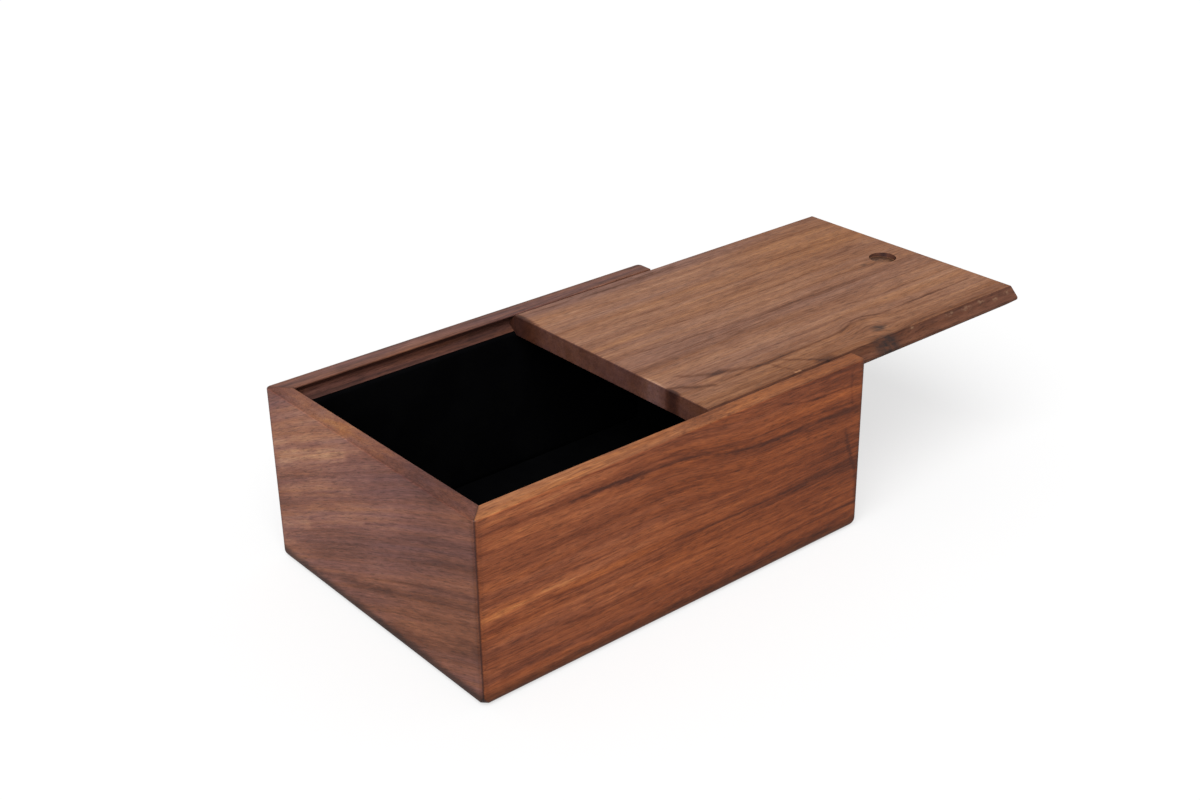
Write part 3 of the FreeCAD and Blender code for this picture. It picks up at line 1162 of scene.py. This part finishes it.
    def build(self) -> None:
        """Makes the covers and dresses the cards under them."""
        velvet = CutPileVelvet().material()
        card = PressedCard().material()
        for name in ("floor", "near_side", "far_side", "closed_end", "open_end"):
            dress(f"{name}_card", card)
        self.side("near_side", -1, velvet)
        self.side("far_side", 1, velvet)
        self.end("closed_end", -1, velvet)
        self.end("open_end", 1, velvet)
        self.floor(velvet)


@dataclass(frozen=True)
class Studio:
    """White floor, a soft lamp from the upper left, and the camera."""

    camera_place: Size = (-0.43882, -0.55114, 0.42493)
    camera_right: Size = (0.7654, -0.64342, -0.01299)
    camera_down: Size = (-0.2943, -0.332, -0.89619)
    camera_look: Size = (0.57231, 0.68977, -0.44347)
    lens: float = 50.0
    sensor: float = 36.0
    floor_size: float = 30.0
    lamp_from: Size = (-0.52, -0.42, 0.74)
    lamp_strength: float = 3.0
    lamp_spread: float = 55.0
    sky: float = 0.45
    sky_mirrored: float = 0.35
    floor_lit: str = "#a8a8a8"
    floor_seen: str = "#a6a6a6"
    floor_glow: float = 0.58

    def floor(self) -> None:
        """Lays the floor, which the camera sees near white with the object's shadow on it."""
        bm = bmesh.new()
        bmesh.ops.create_grid(bm, x_segments=1, y_segments=1, size=self.floor_size / 2)
        mesh = bpy.data.meshes.new("studio_floor")
        bm.to_mesh(mesh)
        bm.free()
        piece = bpy.data.objects.new("studio_floor", mesh)
        bpy.context.scene.collection.objects.link(piece)
        g = new_material("painted_studio_floor")
        seen = g.add("LightPath", out="Is Camera Ray")
        tints = (linear(self.floor_lit), linear(self.floor_seen))
        tint = g.add("Mix", seen, *UNUSED, *tints, out=2, data_type="RGBA")
        glow = g.add("Math:MULTIPLY", seen, self.floor_glow)
        shader = g.add("BsdfPrincipled", tint, **{
            "Roughness": 1.0, "Specular IOR Level": 0.0,
            "Emission Color": linear("#ffffff"), "Emission Strength": glow})
        g.add("OutputMaterial", shader)
        mesh.materials.append(g.owner)

    def lamps(self) -> None:
        """Lights the scene from a white sky and one soft lamp."""
        world = bpy.data.worlds.new("studio_sky")
        bpy.context.scene.world = world
        g = Graph(world)
        seen = g.add("LightPath", out="Is Camera Ray")
        mirrored = g.add("LightPath", out="Is Glossy Ray")
        level = g.add("MapRange", mirrored, 0.0, 1.0, self.sky, self.sky_mirrored)
        level = g.add("Math:MAXIMUM", seen, level)
        g.add("OutputWorld", g.add("Background", linear("#ffffff"), level))
        lamp = bpy.data.lights.new("soft_lamp", "SUN")
        lamp.energy = self.lamp_strength
        lamp.angle = math.radians(self.lamp_spread)
        piece = bpy.data.objects.new("soft_lamp", lamp)
        piece.rotation_euler = (-Vector(self.lamp_from)).to_track_quat("-Z", "Y").to_euler()
        bpy.context.scene.collection.objects.link(piece)

    def camera(self) -> None:
        """Stands the camera where the box is seen over its near left corner."""
        data = bpy.data.cameras.new("camera")
        data.lens, data.sensor_width = self.lens, self.sensor
        data.clip_start, data.clip_end = 0.01, 60.0
        piece = bpy.data.objects.new("camera", data)
        axes = (Vector(self.camera_right), -Vector(self.camera_down), -Vector(self.camera_look))
        turn = Matrix(axes).transposed().to_4x4()
        piece.matrix_world = Matrix.Translation(Vector(self.camera_place)) @ turn
        bpy.context.scene.collection.objects.link(piece)
        bpy.context.scene.camera = piece
        bpy.context.scene.view_settings.view_transform = "Standard"

    def build(self) -> None:
        """Sets the studio up."""
        self.floor()
        self.lamps()
        self.camera()
        log.info("set up the studio")


def main() -> None:
    """Builds the sub-assemblies in order, then the studio."""
    logging.basicConfig(level=logging.INFO, format="%(message)s")
    for part in (Walls(), SlidingLid(), BaseBoard(), Lining(), Studio()):
        part.build()


if __name__ == "__main__":
    main()
